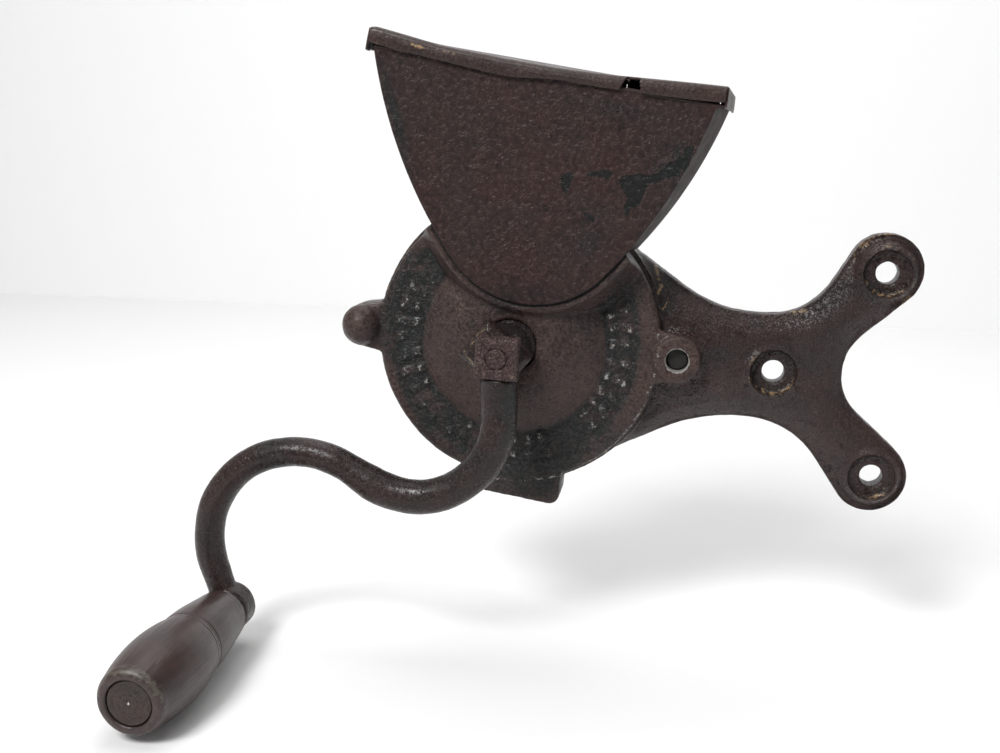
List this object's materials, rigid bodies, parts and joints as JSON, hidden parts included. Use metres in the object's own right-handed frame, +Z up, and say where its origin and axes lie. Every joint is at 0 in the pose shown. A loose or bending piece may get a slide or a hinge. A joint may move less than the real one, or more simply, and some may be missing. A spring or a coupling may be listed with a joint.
{
  "type": "wall mounted side coffee mill",
  "caption": "Wall-hung side coffee mill: a round cast-iron burr housing on a forked screw bracket, with a flared tin hopper, hinged lid, S-bent crank and turned wooden grip.",
  "frame": {"origin": "Axis of the middle wall screw hole where it meets the wall plane.", "axes": "+Z up, +Y into the wall, +X along the bracket from the mill towards its screw lobes."},
  "size_m": [0.2824, 0.1326, 0.2449],
  "materials": {
    "japanned_iron": "worn dark brown japan over cast iron, semi-gloss",
    "painted_tin": "dark brown paint on sheet, pebbled, flaked to black",
    "bare_iron": "bare rusted iron",
    "burr_iron": "bare chilled iron, dull",
    "turned_wood": "dark handled hardwood, waxed"
  },
  "bodies": {
    "mill_body": {"back_casting": "japanned_iron", "front_cover": "japanned_iron", "cover_screw_left": "bare_iron", "cover_screw_right": "bare_iron", "hopper_front": "painted_tin", "hopper_side_left": "painted_tin", "hopper_side_right": "painted_tin", "hopper_back": "painted_tin", "rim_wire": "bare_iron", "hinge_wire": "bare_iron", "fixed_burr": "burr_iron", "burr_screw_1": "bare_iron", "burr_screw_2": "bare_iron", "burr_screw_3": "bare_iron", "thrust_disc": "bare_iron"},
    "adjuster": {"adjusting_screw": "bare_iron"},
    "crank": {"shaft": "bare_iron", "rotating_burr": "burr_iron", "burr_pin": "bare_iron", "crank_arm": "japanned_iron", "crank_nut": "bare_iron", "grip_spindle": "bare_iron", "grip_washer": "bare_iron"},
    "grip_body": {"grip": "turned_wood"},
    "lid_body": {"lid": "painted_tin"}
  },
  "joints": [
    {"name": "crank_turn", "type": "hinge", "parent": "mill_body", "child": "crank", "pos_m": [-0.1015, -0.04, 0.0095], "axis": [0, 1, 0], "continuous": true},
    {"name": "grip_spin", "type": "hinge", "parent": "crank", "child": "grip_body", "pos_m": [-0.21306, -0.09, -0.10055], "axis": [0, 1, 0], "continuous": true},
    {"name": "lid_hinge", "type": "hinge", "parent": "mill_body", "child": "lid_body", "pos_m": [-0.08745, -0.00235, 0.11466], "axis": [-0.9863, 0, 0.165], "range_deg": [0, 88]},
    {"name": "adjust_turn", "type": "hinge", "parent": "mill_body", "child": "adjuster", "pos_m": [-0.1015, -0.002, 0.0095], "axis": [0, 1, 0], "range_deg": [0, 180]}
  ]
}
